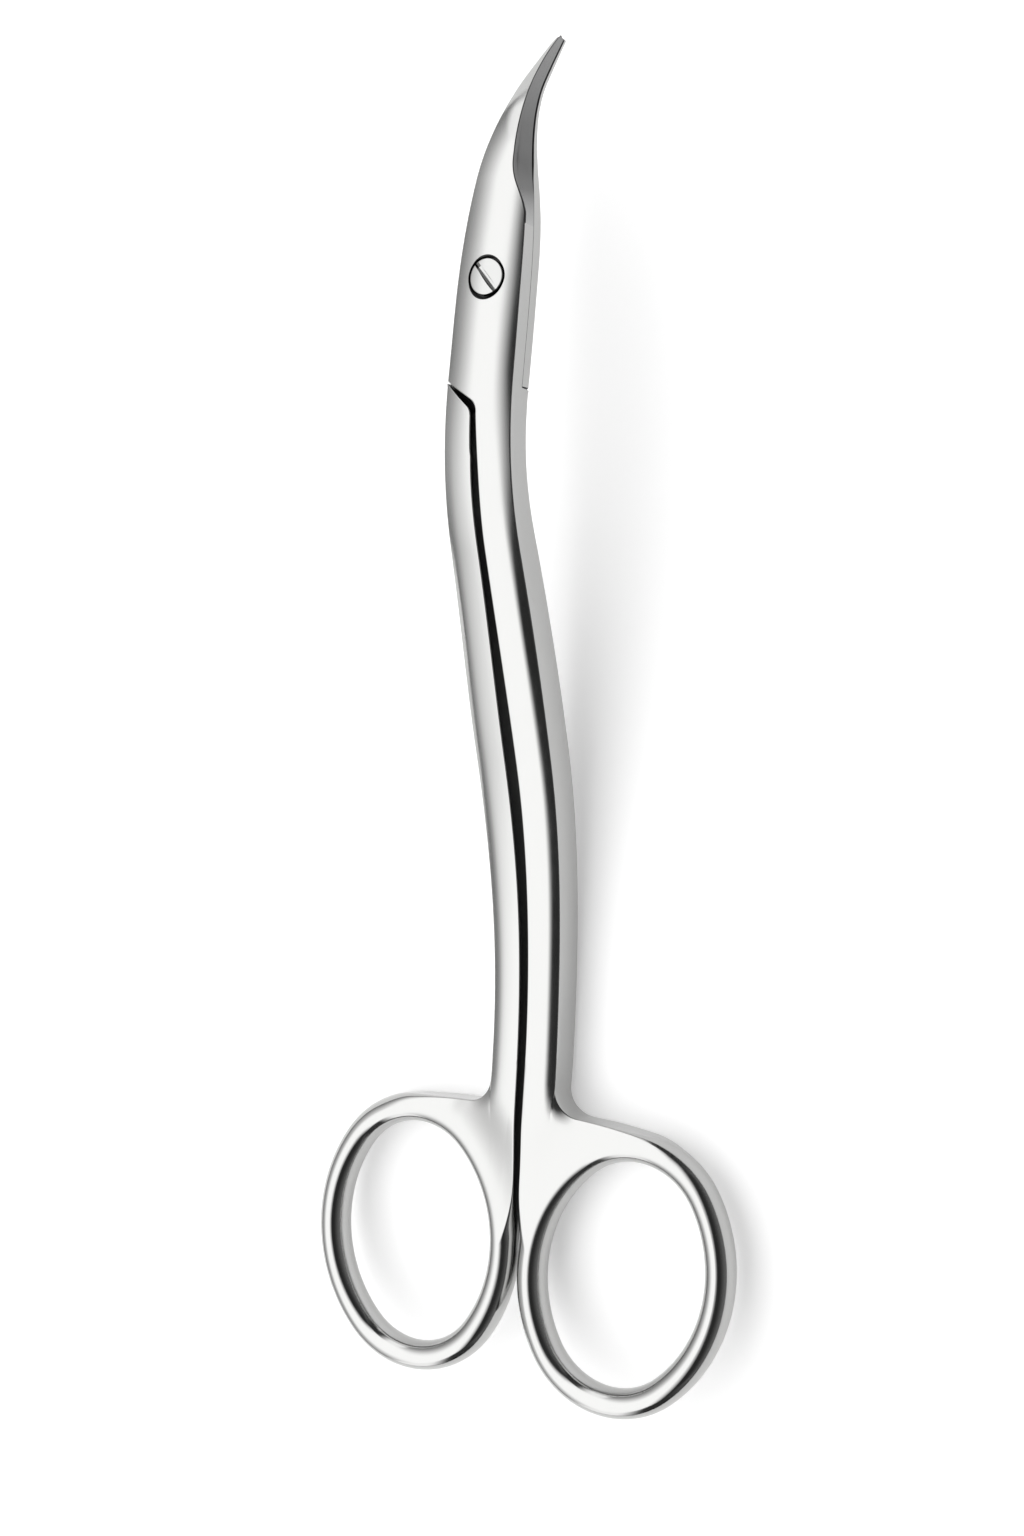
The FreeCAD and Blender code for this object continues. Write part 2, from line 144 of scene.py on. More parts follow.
# The forging's form: where its side curve, its outlines and its crowned faces run.
class Form:
    def __init__(self, values):
        self.v = values
        runs = values["sideRuns"]
        self.knots = np.concatenate([[0.0], np.cumsum([run[0] for run in runs])])
        climbs = np.concatenate([[0.0], np.cumsum([run[1] for run in runs])])
        self.total = self.knots[-1]
        step = fine["table"]
        self.sTable = np.arange(0, self.total + fine["spare"], step)
        self.climbTable = np.radians(np.interp(self.sTable, self.knots, climbs))
        middle = (self.climbTable[1:] + self.climbTable[:-1]) / 2
        self.yTable = np.concatenate([[0.0], np.cumsum(np.cos(middle)) * step])
        self.zTable = np.concatenate([[0.0], np.cumsum(np.sin(middle)) * step])
        self.jointBackS, self.jointFrontS = self.knots[values["jointRun"]:values["jointRun"] + 2]
        self.pivotS = self.jointFrontS - values["pivotBack"]
        self.jointBackY = self.at(self.jointBackS)[0]
        self.jointFrontY, self.lapZ, _ = self.at(self.jointFrontS)
        self.tipY = self.at(self.total)[0]
        self.pivotY = self.jointFrontY - values["pivotBack"]
        self.shoulderY = self.pivotY - values["shoulderBack"]
        rows = np.array(values["stations"])
        self.curvature = Smooth(np.column_stack([rows[:, 0], 1 / rows[:, 1]]))
        self.above = Smooth(rows[:, [0, 2]])
        self.below = Smooth(rows[:, [0, 3]])
        marks = {"rings": 0.0, "jointBack": self.jointBackY, "pivot": self.pivotY,
                 "jointFront": self.jointFrontY, "tip": self.tipY}
        outline = [(marks[mark] + past, half) for mark, past, half in values["outline"]]
        marks["shankMiddle"] = (outline[0][0] + outline[2][0]) / 2
        gap = [(marks[mark] + past, half) for mark, past, half in values["gap"]]
        leaf, shoulder = values["leaf"], values["shoulder"]
        self.webHalf = outline[0][1]
        self.outline = Smooth(outline + [(self.tipY - values["tipHalf"], values["tipHalf"])])
        self.gap = Smooth(gap + [(self.shoulderY - leaf["before"], leaf["edge"])])
        self.leafLine = self.slantLine(leaf, self.shoulderY, -1)
        self.shoulderLine = self.slantLine(shoulder, self.shoulderY - shoulder["behind"], 1)
        lean = math.radians(values["ringLean"])
        halfX, halfY = values["ringHalf"]
        self.ringX = (math.hypot(halfX * math.cos(lean), halfY * math.sin(lean))
                      + values["wireHalf"][0] + values["ringGap"] / 2)

    def at(self, s):
        y = np.interp(s, self.sTable, self.yTable)
        z = np.interp(s, self.sTable, self.zTable)
        return y, z, np.interp(s, self.sTable, self.climbTable)

    # Plan line that comes up along Y beside the middle, turns by a rounded corner and goes out at a slant.
    def slantLine(self, line, y, side):
        slant = math.radians(line["slant"])
        turn = math.pi / 2 - slant
        radius = line["corner"]
        reach = radius * math.tan(turn / 2)
        angles = np.linspace(0, turn, fine["corner"])
        xs = line["edge"] + side * radius * (1 - np.cos(angles))
        ys = y - reach + radius * np.sin(angles)
        far = self.v["slantReach"]
        return np.append(ys, ys[-1] + far * math.tan(slant)), np.append(xs, xs[-1] + side * far)

    # Half width: the outline, closed by a round nose at the tip.
    def width(self, y):
        half = self.v["tipHalf"]
        past = np.clip((y - (self.tipY - half)) / half, 0, 1)
        return self.outline(y) * np.sqrt(1 - past * past)

    # Inner boundary of the face that lies outside: gap, slanted leaf end, then the far side.
    def innerEdge(self, y):
        ys, xs = self.leafLine
        line = np.interp(y, ys, xs)
        edge = np.where(y < ys[0], self.gap(y), line)
        return np.maximum(edge, -self.width(y))

    # Inner boundary of the shank's other face, which ends at the slanted shoulder.
    def shoulderEdge(self, y):
        ys, xs = self.shoulderLine
        least = self.v["shoulderGap"]
        shank = least["half"] * ramp((y - self.shoulderY + least["start"]) / least["run"])
        edge = np.where(y < ys[0], shank, np.interp(y, ys, xs))
        return np.clip(np.maximum(edge, self.innerEdge(y)), None, self.width(y))

    # Drop of the crown: a circle's, and towards the outer edge of the shanks a soft slant.
    # share is the place between the middle (0) and the outer edge (1).
    def sag(self, s, x, share=None, side=1):
        curve = self.curvature(s)
        circle = x * x * curve / (1 + np.sqrt(np.clip(1 - (x * curve) ** 2, 0, 1)))
        fall = self.v["edgeFall"]
        if share is None:
            share = np.abs(x) / np.maximum(self.width(self.at(s)[0]), fine["leastHalf"])
        fade = 1 - ramp((s - fall["fadeStart"]) / fall["fadeRun"])
        depth = np.where(side > 0, fall["top"], fall["foot"]) * fade
        return circle + depth * softRise(np.clip(share, 0, 1), fall["start"], fall["soft"])

    # Height of a crowned face over the side curve; side 1 is above and side -1 below.
    def crown(self, s, x, side, share=None):
        rise = np.where(side > 0, self.above(s), self.below(s))
        return side * (rise - self.sag(s, x, share, side))

    # Height above the ring plane of a crowned face at a plan point.
    def faceZ(self, x, y, side, share):
        s = np.array(y, float)
        for _ in range(fine["faceRounds"]):
            height = self.crown(s, x, side, share)
            centreY, centreZ, climb = self.at(s)
            s = s + (y - (centreY - np.sin(climb) * height))
        height = self.crown(s, x, side, share)
        centreY, centreZ, climb = self.at(s)
        return centreZ + np.cos(climb) * height


form = Form(formValues)


# Drop of a rounded edge at a distance from the wall: a quarter circle.
def roundOff(distance, radius):
    inside = np.clip(radius - distance, 0, radius)
    return radius - np.sqrt(np.clip(radius ** 2 - inside ** 2, 0, None))


# The drawing's frame is tilted about X and moved, so that the scissors rest on the floor.
pivotJoint = frame["joints"][0]
pitch = math.atan2(pivotJoint["axis"][1], pivotJoint["axis"][2])
toFloor = Matrix.Rotation(-pitch, 4, "X")
pivotPlace = Vector(pivotJoint["pos_m"])
drawingShift = pivotPlace - toFloor @ (Vector((0, form.pivotY, form.lapZ)) / 1000)


def settled(points):
    turned = np.array(points, float) @ np.array(toFloor.to_3x3()).T / 1000
    return turned + np.array(drawingShift)


# Shader maths with plain operators.
class Value:
    def __init__(self, tree, socket):
        self.tree = tree
        self.socket = socket

    # A new node of a kind that takes this value first.
    def fed(self, kind):
        node = self.tree.nodes.new(kind)
        self.tree.links.new(self.socket, node.inputs[0])
        return node

    def maths(self, operation, other):
        node = self.fed("ShaderNodeMath")
        node.operation = operation
        if isinstance(other, Value):
            self.tree.links.new(other.socket, node.inputs[1])
        else:
            node.inputs[1].default_value = other
        return Value(self.tree, node.outputs[0])

    def __add__(self, other):
        return self.maths("ADD", other)

    def __sub__(self, other):
        return self.maths("SUBTRACT", other)

    def __mul__(self, other):
        return self.maths("MULTIPLY", other)

    def __truediv__(self, other):
        return self.maths("DIVIDE", other)

    # Smooth step from one value at low to another at high.
    def step(self, low, high, fromValue=0.0, toValue=1.0):
        node = self.fed("ShaderNodeMapRange")
        node.interpolation_type = "SMOOTHSTEP"
        for k, number in enumerate((low, high, fromValue, toValue)):
            node.inputs[k + 1].default_value = number
        return Value(self.tree, node.outputs[0])

    # Grey levels along the value, from rows of place and level.
    def toned(self, rows):
        node = self.fed("ShaderNodeValToRGB")
        elements = node.color_ramp.elements
        for k, (place, level) in enumerate(rows):
            element = elements[k] if k < 2 else elements.new(place)
            element.position = place
            element.color = (level, level, level, 1)
        return Value(self.tree, node.outputs[0])

    # A node of another kind fed by name.
    def node(self, kind, output=0, **inputs):
        node = self.tree.nodes.new(kind)
        for name, item in inputs.items():
            socket = node.inputs[name.replace("_", " ")]
            if isinstance(item, Value):
                self.tree.links.new(item.socket, socket)
            else:
                socket.default_value = item
        return Value(self.tree, node.outputs[output])


def objectPlace(tree):
    return Value(tree, tree.nodes.new("ShaderNodeTexCoord").outputs["Object"])


# A new material with its node tree and its main shader.
def newMaterial(name, colour, roughness=0.8):
    material = bpy.data.materials.new(name)
    material.use_nodes = True
    tree = material.node_tree
    shader = tree.nodes["Principled BSDF"]
    shader.inputs["Base Color"].default_value = colour
    shader.inputs["Roughness"].default_value = roughness
    return material, tree, shader


# Polished steel: fine rubbing marks that run with the length and a faint haze vary the roughness.
steelValues = {
    "colour": (0.445, 0.445, 0.44, 1.0),
    "roughness": (0.1, 0.17),
    "grain": (900.0, 60.0, 900.0),
    "grainDetail": (3.0, 0.6),
    "haze": 55.0,
    "hazeDetail": (2.0, 0.5),
    "hazeShare": 0.6,
    "spread": (0.35, 0.65),
    "bump": (0.02, 0.00005),
    "paintedReflectionStart": 6.0,
}


def steelMaterial(name, values):
    material, tree, shader = newMaterial(name, values["colour"])
    shader.inputs["Metallic"].default_value = 1.0
    start = objectPlace(tree)
    stretched = start.node("ShaderNodeMapping", Vector=start, Scale=values["grain"])
    detail, grit = values["grainDetail"]
    grain = start.node("ShaderNodeTexNoise", Vector=stretched, Scale=1.0, Detail=detail, Roughness=grit)
    detail, grit = values["hazeDetail"]
    haze = start.node("ShaderNodeTexNoise", Vector=start, Scale=values["haze"], Detail=detail, Roughness=grit)
    share = values["hazeShare"]
    rough = (haze * share + grain * (1 - share)).step(*values["spread"], *values["roughness"])
    tree.links.new(rough.socket, shader.inputs["Roughness"])
    strength, distance = values["bump"]
    bump = start.node("ShaderNodeBump", Height=grain, Strength=strength, Distance=distance)
    tree.links.new(bump.socket, shader.inputs["Normal"])
    if "bands" in values:
        # Painted reflection on the ground bevel: its base colour darkens in bands from its back end towards the
        # tip, standing in for the dark surroundings it mirrors.
        place = start.node("ShaderNodeSeparateXYZ", output=1, Vector=start)
        ends = (form.jointFrontY - values["paintedReflectionStart"], form.tipY)
        first, last = (float(settled([(0, y, form.lapZ)])[0][1]) for y in ends)
        tone = ((place - first) / (last - first)).toned(values["bands"])
        tree.links.new(tone.socket, shader.inputs["Base Color"])
    return material


steel = steelMaterial("polishedSteel", steelValues)
screwSteel = steelMaterial("screwSteel", dict(steelValues, colour=(0.42, 0.42, 0.415, 1.0)))
# Painted shade: near-black steel for walls that sit in shade: in the gap between the halves, in the
# counterbore, round the screw's head and in its slot.
paintedShadeSteel = steelMaterial("paintedShadeSteel", dict(
    steelValues, colour=(0.06, 0.06, 0.06, 1.0), roughness=(0.35, 0.45)))
# Ground bevel: rougher steel whose base colour carries painted reflection in bands along its length.
groundSteelPaintedReflection = steelMaterial("groundSteelPaintedReflection", dict(steelValues, roughness=(0.2, 0.28), bands=[
    (0.0, 0.47), (0.2, 0.17), (0.5, 0.16), (1.0, 0.26)]))
print("materials made")


meshValues = {"sharp": 32.0, "merge": 3e-6, "degenerate": 1e-7}


# An object from points in the drawing's frame. The kinds say which material each face takes.
def meshObject(name, points, faces, materials, kinds=None):
    mesh = bpy.data.meshes.new(name)
    mesh.from_pydata(settled(points).tolist(), [], faces)
    made = bpy.data.objects.new(name, mesh)
    bpy.context.scene.collection.objects.link(made)
    for material in materials:
        mesh.materials.append(material)
    if kinds is not None:
        mesh.polygons.foreach_set("material_index", np.array(kinds, dtype=np.int32))
    bpy.context.view_layer.objects.active = made
    bpy.ops.object.select_all(action="DESELECT")
    made.select_set(True)
    bpy.ops.object.mode_set(mode="EDIT")
    bpy.ops.mesh.select_all(action="SELECT")
    bpy.ops.mesh.remove_doubles(threshold=meshValues["merge"])
    bpy.ops.mesh.select_all(action="SELECT")
    bpy.ops.mesh.dissolve_degenerate(threshold=meshValues["degenerate"])
    bpy.ops.mesh.select_all(action="SELECT")
    bpy.ops.mesh.normals_make_consistent(inside=False)
    bpy.ops.object.mode_set(mode="OBJECT")
    shadeSmooth(made)
    return made


def shadeSmooth(made):
    mesh = made.data
    mesh.polygons.foreach_set("use_smooth", [True] * len(mesh.polygons))
    mesh.set_sharp_from_angle(angle=math.radians(meshValues["sharp"]))
    mesh.update()


# Quads of a grid of rows and columns, closed across each row and from the last row to the first where asked.
def gridFaces(rows, columns, loop=False, ring=False):
    wide = columns if loop else columns - 1
    high = rows if ring else rows - 1
    r, c = np.meshgrid(np.arange(high), np.arange(wide), indexing="ij")
    after = (c + 1) % columns
    below = (r + 1) % rows
    return np.stack([r * columns + c, r * columns + after, below * columns + after, below * columns + c], -1)


# Takes the volume of one object out of another, both made of whole meshes.
def carve(target, cutter):
    modifier = target.modifiers.new("carve", "BOOLEAN")
    modifier.operation = "DIFFERENCE"
    modifier.solver = "EXACT"
    modifier.material_mode = "TRANSFER"
    modifier.object = cutter
    depsgraph = bpy.context.evaluated_depsgraph_get()
    whole = bpy.data.meshes.new_from_object(target.evaluated_get(depsgraph))
    target.modifiers.remove(modifier)
    old = target.data
    target.data = whole
    bpy.data.meshes.remove(old)
    bpy.data.objects.remove(cutter)


# Numbers of points on each stretch of a section, least sizes and clearances in millimetres, and shares.
shankValues = {
    "plain": 30, "wall": 5, "side": 7, "riser": 4, "lap": 8,
    "levelLap": 0.5, "leastRiser": 0.6, "leastEdge": 0.2, "leastWidth": 0.01, "leastFoot": 0.001,
    "mostSlant": 2.2, "slantRun": 0.05, "ridgeThin": 0.4, "pastRound": 1.06, "shortOfTip": 1.001,
    "hiddenEdge": 0.05, "paintedShadeRidge": 3,
}
quarterTurn = np.linspace(0, math.pi / 2, fine["quarter"])


# One half from the root of its shank to its tip, as closed sections square to the side curve.
# hand 1 lies on top with its ring at the right; hand -1 is the same turned half round the side curve.
# A section goes up the inner wall, across the outer crown, down the outer wall or the bevel, back
# across the other crown, up the shoulder and across the lap face.
def halfSections(hand, s):
    v, own = form.v, shankValues
    y, z, climb = form.at(s)
    past = s - form.jointFrontS
    relief, bevel, wall = v["relief"], v["bevel"], v["wallBulge"]
    tilt = math.tan(math.radians(relief["angle"])) * ramp(past / relief["run"])
    into = ramp((past + bevel["start"]) / bevel["run"])
    cutting = form.width(np.minimum(y, form.tipY - v["tipHalf"] * own["shortOfTip"]))
    cutting = cutting - bevel["inset"] * ramp((past + bevel["insetStart"]) / bevel["insetRun"])
    fade = 1 - ramp((s - wall["fadeStart"]) / wall["fadeRun"])
    bulge = wall["rise"] * ramp((s - v["rootS"]) / wall["runIn"]) * fade
    xs, hs = [], []

    def planY(height):
        return y - np.sin(climb) * hand * height

    def outerFace(x):
        return hand * form.crown(s, x, hand)

    def otherFace(x):
        return hand * form.crown(s, x, -hand)

    def farSide(height):
        leaning = cutting + bevel["inset"] * (1 - into) - bevel["slope"] * into * height
        return np.minimum(form.width(planY(height)), leaning)

    # Place and height at which a plan boundary meets a face.
    def meeting(edge, face):
        height = 0.0
        for _ in range(fine["meetRounds"]):
            x = edge(height)
            height = face(x)
        return x, height

    def innerAt(height):
        return form.innerEdge(planY(height))

    def shoulderAt(height):
        return form.shoulderEdge(planY(height))

    def put(x, height):
        xs.append(x + 0 * s)
        hs.append(height + 0 * s)

    leftX, leftTop = meeting(innerAt, outerFace)
    rightX, rightTop = meeting(farSide, outerFace)
    rightX = np.maximum(rightX, leftX + own["leastWidth"])
    footRight, footRightH = meeting(lambda h: form.width(planY(h)), otherFace)
    footLeft, footLeftH = meeting(shoulderAt, otherFace)
    inShank = footLeft < footRight - own["leastFoot"]
    lap = hand * (form.lapZ - z) / np.cos(climb) + v["lapHalf"]
    lap = np.clip(lap, footLeftH + own["leastRiser"], leftTop - own["leastEdge"])
    lap = np.where(past > -own["levelLap"], v["lapHalf"], lap)

    # The inner edge's rounding is wider where that edge runs at a slant.
    run = own["slantRun"]
    slant = np.hypot(1, (form.innerEdge(y + run) - form.innerEdge(y - run)) / (2 * run))
    radius = np.minimum(v["edgeRound"] * np.minimum(slant, own["mostSlant"]), (rightX - leftX) / 4)
    ridge = np.minimum(v["edgeRound"] * (1 - own["ridgeThin"] * into), (rightX - leftX) / 4)
    drop = np.minimum(radius, v["edgeRound"])
    spare = own["pastRound"]
    for t in np.linspace(0, 1, own["wall"]):
        height = lap + (leftTop - drop - lap) * t
        put(np.where(t == 1, leftX, innerAt(height)), height + tilt * (cutting - leftX) * (1 - t))
    for a in quarterTurn[1:]:
        x = leftX + radius * (1 - np.cos(a))
        put(x, outerFace(x) - drop * (1 - np.sin(a)))
    for t in np.linspace(0, 1, own["plain"]):
        x = leftX + radius * spare + (rightX - ridge * spare - leftX - radius * spare) * t
        put(x, outerFace(x))
    for a in quarterTurn[::-1]:
        x = rightX - ridge * (1 - np.cos(a))
        put(x, outerFace(x) - ridge * (1 - np.sin(a)))

    span = np.maximum(footRight - footLeft, 0)
    small = np.minimum(v["edgeRound"], span / 4)
    top = rightTop - ridge
    low = np.where(inShank, footRightH + small, lap)
    for t in np.linspace(0, 1, own["side"])[1:]:
        height = top + (low - top) * t
        put(np.where((t == 1) & inShank, footRight, farSide(height)) + 4 * bulge * t * (1 - t), height)
    endX, endH = xs[-1], hs[-1]

    def putFoot(x, height):
        put(np.where(inShank, x, endX), np.where(inShank, height, endH))

    for a in quarterTurn[1:]:
        x = footRight - small * (1 - np.cos(a))
        putFoot(x, otherFace(x) + small * (1 - np.sin(a)))
    for t in np.linspace(0, 1, own["plain"]):
        x = footRight - small * spare - (span - 2 * spare * small) * t
        putFoot(x, otherFace(x))
    for a in quarterTurn[::-1]:
        x = footLeft + small * (1 - np.cos(a))
        putFoot(x, otherFace(x) + small * (1 - np.sin(a)))
    for t in np.linspace(0, 1, own["riser"])[1:]:
        height = footLeftH + small + (lap - footLeftH - small) * t
        putFoot(shoulderAt(height), height)
    lastX = xs[-1]
    for t in np.linspace(0, 1, own["lap"])[1:-1]:
        x = lastX + (xs[0] - lastX) * t
        put(x, lap + tilt * (cutting - x))
    xs = np.stack(xs, axis=1)
    hs = np.stack(hs, axis=1)
    return np.stack([
        hand * xs, y[:, None] - np.sin(climb)[:, None] * hand * hs,
        z[:, None] + np.cos(climb)[:, None] * hand * hs], -1)


# Rows along the side curve: how far from the joint's ends their spacing changes, and the spacings.
rowValues = {"jointNear": 14.0, "leafStart": 5.4, "leafEnd": 1.6, "bladeStart": 5.0, "beforeNose": 0.1,
             "steps": (0.7, 0.4, 0.09, 0.35, 0.2), "noseRows": 11, "beforeEnd": 0.004}


# Places along the side curve, closer together where the outlines turn.
def rowPlaces():
    v = rowValues
    back, front, end = form.jointBackS, form.jointFrontS, form.total
    nose = form.v["tipHalf"] / math.cos(form.at(end)[2])
    marks = [form.v["rootS"], back - v["jointNear"], back - v["leafStart"], back + v["leafEnd"],
             front - v["bladeStart"], end - nose - v["beforeNose"]]
    parts = [np.arange(first, last, step) for first, last, step in zip(marks, marks[1:], v["steps"])]
    turn = np.linspace(0, math.pi / 2, v["noseRows"] + 1)[:-1]
    return np.concatenate(parts + [end - nose * (1 - np.sin(turn)), [end - v["beforeEnd"]]])


# Unit vectors in plan.
def unitWays(angles):
    return np.stack([np.cos(angles), np.sin(angles)], -1)


# Centre line of a ring at the right: four tangent arcs, leaning outwards. Each row holds the arc's
# centre, its radius and its first and last angle.
def ringArcs():
    v = form.v
    halfX, halfY = v["ringHalf"]
    offset = halfY - v["ringEndRadius"]
    sideRadius = (halfX ** 2 + offset ** 2 - v["ringEndRadius"] ** 2) / (2 * (halfX - v["ringEndRadius"]))
    reach = sideRadius - halfX
    turn = math.atan2(offset, reach)
    lean = math.radians(v["ringLean"])
    arcs = []
    for middle, half, radius, x, yy in (
            (0, turn, sideRadius, -reach, 0), (math.pi / 2, math.pi / 2 - turn, v["ringEndRadius"], 0, offset),
            (math.pi, turn, sideRadius, reach, 0),
            (-math.pi / 2, math.pi / 2 - turn, v["ringEndRadius"], 0, -offset)):
        centre = np.array([form.ringX + x * math.cos(lean) + yy * math.sin(lean),
                           v["ringCentreY"] - x * math.sin(lean) + yy * math.cos(lean)])
        arcs.append((centre, radius, middle - half - lean, middle + half - lean))
    return arcs


# Points on the centre line and their outward directions, found for boundary points.
def nearestOnRing(points):
    best = np.full(len(points), np.inf)
    centres, ways = np.zeros((2, len(points), 2))
    for centre, radius, first, last in ringArcs():
        away = points - centre
        far = np.linalg.norm(away, axis=1)
        angle = np.arctan2(away[:, 1], away[:, 0])
        middle = (first + last) / 2
        offset = (angle - middle + math.pi) % (2 * math.pi) - math.pi
        onArc = np.abs(offset) <= (last - first) / 2 + fine["leastAngle"]
        gap = np.where(onArc, np.abs(far - radius), np.inf)
        better = gap < best
        best = np.where(better, gap, best)
        way = away / far[:, None]
        centres[better] = (centre + radius * way)[better]
        ways[better] = way[better]
    return centres, ways


# The centre line between two of its points, clockwise, with outward directions and shares of length.
def centreLine(first, last):
    points, ways = [], []
    for centre, radius, low, high in ringArcs()[2::-1]:
        way = unitWays(np.linspace(high, low, fine["arc"]))
        points.append(centre + radius * way)
        ways.append(way)
    points, ways = np.concatenate(points), np.concatenate(ways)
    a = np.argmin(np.linalg.norm(points - first, axis=1))
    b = np.argmin(np.linalg.norm(points - last, axis=1))
    points, ways = points[a:b + 1], ways[a:b + 1]
    along = np.concatenate([[0], np.cumsum(np.linalg.norm(np.diff(points, axis=0), axis=1))])
    return points, ways, along / along[-1]


# Spacing of the ring's rows, numbers of points on each stretch of a row and of rows on each stretch of
# the web's outline, lengths in millimetres over which the faces blend, and shares.
ringValues = {
    "rowStep": 0.45, "inner": 11, "plain": 14, "edge": 9, "wall": 5,
    "gapRows": 55, "downRows": 9, "bendRows": 27, "straightRows": 13,
    "gapBlend": 2.4, "webBlend": 4.0, "crestRun": 9.0, "gapNear": (3.0, 16.0), "gapLift": 0.35,
    "spread": [0.0, 0.17, 0.29, 0.35, 0.52, 0.7, 1.0], "spreadSmooth": 40,
    "crossLeast": 0.25, "edgeSpare": 1.05, "edgeShare": (0.85, 0.4), "passGain": 1.5,
}


# Ring and web of one half: rays leave the ring's centre line square to it and end at the outside.
# Where a ray ends on the free ring, the face is a quarter of an ellipse; where it ends at the gap,
# at the shank's root or at the web's outer wall, the crest passes smoothly into the bar's crown,
# with a rounded edge. The blend is 0 on the free ring and 1 where the edge is rounded.
def ringPatch(hand, rootTop, rootFoot):
    v, own = form.v, ringValues
    wide, high = v["wireHalf"]
    arcs = ringArcs()
    endCentre = arcs[1][0]
    rootX = form.webHalf
    # The web's outer wall: down along the shank, round the fillet and straight on to touch the ring.
    touch = math.radians(v["webTouch"])
    outwards = np.array([math.cos(touch), math.sin(touch)])
    tangent = endCentre + (v["ringEndRadius"] + wide) * outwards
    fillet = np.array([rootX + v["webFillet"], 0.0])
    fillet[1] = tangent[1] + (v["webFillet"] - (fillet[0] - tangent[0]) * outwards[0]) / outwards[1]
    bendEnd = fillet - v["webFillet"] * outwards

    # Oval of the ring's outside, clockwise from the web's end over the ring's far side back up to the gap.
    loop = []
    for centre, radius, first, last in arcs:
        count = int((last - first) * radius / own["rowStep"]) + 1
        angles = np.linspace(first, last, count, endpoint=False)
        loop.append(centre + (radius + wide) * unitWays(angles))
    loop = np.concatenate(loop)
    middle = np.array([form.ringX, v["ringCentreY"]])
    around = (np.arctan2(loop[:, 1] - middle[1], loop[:, 0] - middle[0])
              - math.atan2(tangent[1] - middle[1], tangent[0] - middle[0]))
    loop = loop[np.argsort((-around) % (2 * math.pi))]
    nearX, nearY = own["gapNear"]
    atGap = (loop[:, 0] < nearX) & (loop[:, 1] > nearY) & (loop[:, 0] > form.gap(loop[:, 1]))
    free = loop[:np.where(atGap)[0][0]]
    gapStart = free[-1][1] + own["gapLift"]

    topLeft, footLeft = rootTop[0], rootFoot[0]
    topRight, footRight = rootTop[-1], rootFoot[-1]

    def sides(left, right):
        up = gapStart + (left[1] - gapStart) * np.linspace(0, 1, own["gapRows"] + 1)[:-1]
        gapLine = np.stack([form.gap(up), up], -1)
        down = right[1] + (fillet[1] - right[1]) * np.linspace(0, 1, own["downRows"] + 1)[1:]
        wall = np.stack([np.full(len(down), rootX), down], -1)
        angles = np.linspace(math.pi, math.pi + touch, own["bendRows"] + 1)[1:]
        bend = fillet + v["webFillet"] * unitWays(angles)
        share = np.linspace(0, 1, own["straightRows"] + 2)[1:-1, None]
        return gapLine, np.concatenate([wall, bend, bendEnd + (tangent - bendEnd) * share])

    gapTop, wallTop = sides(topLeft, topRight)
    gapFoot, wallFoot = sides(footLeft, footRight)
    top = np.concatenate([gapTop, rootTop[:, :2], wallTop, free])
    foot = np.concatenate([gapFoot, rootFoot[:, :2], wallFoot, free])
    rows = len(top)
    rootFirst = len(gapTop)
    rootLast = rootFirst + len(rootTop) - 1
    downLast = rootLast + own["downRows"]
    bendLast = downLast + own["bendRows"]
    webLast = rootLast + len(wallTop)
    centres, ways = nearestOnRing(top)
    away = np.linalg.norm(top - centres, axis=1)
    untilRoot = np.arange(rows) <= rootLast
    beyond = ramp((away - wide) / np.where(untilRoot, own["gapBlend"], own["webBlend"]))
    beyond[webLast + 1:] = 0

    # The outer wall keeps its rounded edge round the fillet; from there it opens out along the ring.
    path = np.cumsum(np.linalg.norm(np.diff(top, axis=0, prepend=top[:1]), axis=1))
    blend = np.where(untilRoot, beyond, 1 - ramp((path - path[bendLast]) / v["webFade"]))

    # In the web the rays' feet are spread along the centre line, so that every ray stays in the web.
    outside, _ = nearestOnRing(np.array([gapTop[0], top[webLast]]))
    line, lineWays, along = centreLine(outside[0], outside[1])
    bendMiddle = downLast + own["bendRows"] // 2
    marks = [0, rootFirst, rootLast, downLast, bendMiddle, bendLast, webLast]
    spread = np.interp(np.arange(webLast + 1), marks, own["spread"])
    for _ in range(own["spreadSmooth"]):
        spread[1:-1] = (spread[:-2] + 2 * spread[1:-1] + spread[2:]) / 4
    for axis in range(2):
        centres[:webLast + 1, axis] = np.interp(spread, along, line[:, axis])
        ways[:webLast + 1, axis] = np.interp(spread, along, lineWays[:, axis])
    length = np.linalg.norm(top - centres, axis=1)
    rays = (top - centres) / length[:, None]

    # Distances in plan from the outer wall and from the nearer of both walls that have an edge.
    def fromOuter(x, y):
        fromBend = np.hypot(x - fillet[0], y - fillet[1]) - v["webFillet"]
        fromStraight = (tangent[0] - x) * outwards[0] + (tangent[1] - y) * outwards[1]
        outer = np.where(y > fillet[1], rootX - x, np.where(x > bendEnd[0], fromStraight, fromBend))
        return np.clip(outer, 0, None)

    def fromWalls(x, y):
        return np.clip(np.minimum(x - form.gap(y), fromOuter(x, y)), 0, None)

